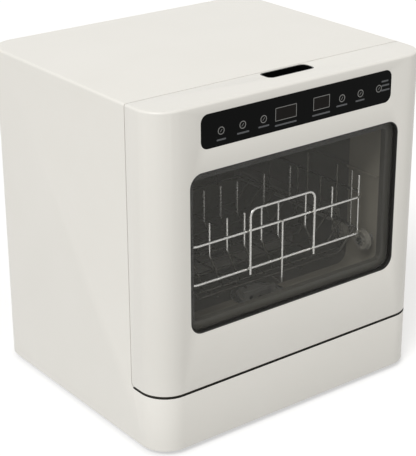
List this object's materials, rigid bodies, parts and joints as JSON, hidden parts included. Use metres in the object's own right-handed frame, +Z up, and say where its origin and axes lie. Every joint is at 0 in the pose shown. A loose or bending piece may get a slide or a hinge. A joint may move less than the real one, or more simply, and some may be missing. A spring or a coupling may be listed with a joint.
{
  "type": "countertop dishwasher",
  "caption": "Boxy countertop dishwasher with rounded corners, a wrap-round drop-down door with a smoked window, touch control strip, finger slot and roll-out wire basket.",
  "frame": {"origin": "on the surface under the feet, below the middle of the body", "axes": "+X to the right seen from the front, +Y from the door to the back, +Z up"},
  "size_m": [0.42, 0.368, 0.435],
  "materials": {
    "white_shell": "satin white moulding",
    "grey_plastic": "fine matt grain",
    "light_plastic": "fine matt grain",
    "dark_plastic": "fine matt grain",
    "black_gloss": "smooth gloss black",
    "tub_lining": "smooth satin lining",
    "smoked_glass": "smooth smoked glass",
    "black_rubber": "matt rubber",
    "steel": "plain zinc-bright steel",
    "wire_steel": "smooth drawn steel wire",
    "motor_metal": "plain coated metal",
    "circuit_board": "green resin board",
    "tank_plastic": "milky smooth"
  },
  "bodies": {
    "cabinet": {"cabinet_shell": "white_shell", "rear_panel": "grey_plastic", "base_pan": "dark_plastic", "feet": "black_rubber", "front_frame": "tub_lining", "tub": "tub_lining", "door_seal": "black_rubber", "basket_rails": "grey_plastic", "ceiling_nozzle": "dark_plastic", "spray_hub": "dark_plastic", "sump": "dark_plastic", "wash_pump_housing": "dark_plastic", "wash_motor": "motor_metal", "drain_pump": "dark_plastic", "heater": "steel", "drain_hose": "black_rubber", "inlet_valve": "light_plastic", "fill_hose": "black_rubber", "drain_connector": "grey_plastic", "cord_gland": "black_rubber", "water_tank": "tank_plastic", "fan_housing": "dark_plastic", "vent_grille": "grey_plastic", "control_box": "light_plastic", "power_board": "circuit_board", "level_sensor": "light_plastic", "hinge_brackets": "steel", "door_springs": "steel", "latch_housing": "dark_plastic", "door_switch": "dark_plastic", "cabinet_screws": "steel", "roller_pins": "steel", "filter_plate": "steel"},
    "door": {"door_outer_panel": "white_shell", "window_glass": "smoked_glass", "window_gasket": "black_rubber", "control_fascia": "black_gloss", "display_modules": "dark_plastic", "touch_pads": "steel", "touch_board": "circuit_board", "door_inner_panel": "grey_plastic", "finger_cup": "black_gloss", "latch_tongue": "steel", "hinge_arms": "steel", "hinge_pins": "steel", "door_screws": "steel"},
    "basket": {"basket_rims": "wire_steel", "basket_floor": "wire_steel", "basket_tines": "wire_steel", "basket_handle": "wire_steel"},
    "front_roller_pair": {"front_rollers": "light_plastic"},
    "second_roller_pair": {"second_rollers": "light_plastic"},
    "spray_arm": {"spray_arm_lower": "grey_plastic", "spray_arm_upper": "grey_plastic"},
    "filter": {"filter_cup": "grey_plastic"},
    "wash_rotor": {"wash_impeller": "grey_plastic"},
    "drain_rotor": {"drain_impeller": "grey_plastic"},
    "drying_fan": {"fan_rotor": "dark_plastic"},
    "door_catch": {"latch_jaw": "light_plastic"},
    "switch_button": {"switch_plunger": "light_plastic"}
  },
  "joints": [
    {"name": "door_hinge", "type": "hinge", "parent": "cabinet", "child": "door", "pos_m": [0, -0.175, 0.096], "axis": [1, 0, 0], "range_deg": [0, 90]},
    {"name": "basket_roll", "type": "slide", "parent": "cabinet", "child": "basket", "axis": [0, -1, 0], "range_m": [0, 0.14]},
    {"name": "front_rollers_turn", "type": "hinge", "parent": "cabinet", "child": "front_roller_pair", "pos_m": [0, -0.147, 0.1842], "axis": [1, 0, 0], "continuous": true},
    {"name": "second_rollers_turn", "type": "hinge", "parent": "cabinet", "child": "second_roller_pair", "pos_m": [0, -0.104, 0.1842], "axis": [1, 0, 0], "continuous": true},
    {"name": "spray_arm_turn", "type": "hinge", "parent": "cabinet", "child": "spray_arm", "pos_m": [0, -0.024, 0.1545], "axis": [0, 0, 1], "continuous": true},
    {"name": "filter_lift", "type": "slide", "parent": "cabinet", "child": "filter", "axis": [0, 0, 1], "range_m": [0, 0.02]},
    {"name": "wash_rotor_turn", "type": "hinge", "parent": "cabinet", "child": "wash_rotor", "pos_m": [0, -0.024, 0.088], "axis": [0, 1, 0], "continuous": true},
    {"name": "drain_rotor_turn", "type": "hinge", "parent": "cabinet", "child": "drain_rotor", "pos_m": [-0.059, -0.098, 0.084], "axis": [1, 0, 0], "continuous": true},
    {"name": "drying_fan_turn", "type": "hinge", "parent": "cabinet", "child": "drying_fan", "pos_m": [0.18, 0.046, 0.32], "axis": [1, 0, 0], "continuous": true},
    {"name": "latch_jaw_turn", "type": "hinge", "parent": "cabinet", "child": "door_catch", "pos_m": [0.0825, -0.132, 0.42], "axis": [0, 0, 1], "range_deg": [0, 25], "stiffness_Nm_per_rad": 0.02},
    {"name": "switch_travel", "type": "slide", "parent": "cabinet", "child": "switch_button", "axis": [0, -1, 0], "range_m": [0, 0.003]}
  ],
  "couplings": [
    {"joint": "basket_roll", "follows": "door_hinge", "m_per_rad": 0.0891},
    {"joint": "switch_travel", "follows": "door_hinge", "m_per_rad": 0.0019}
  ]
}
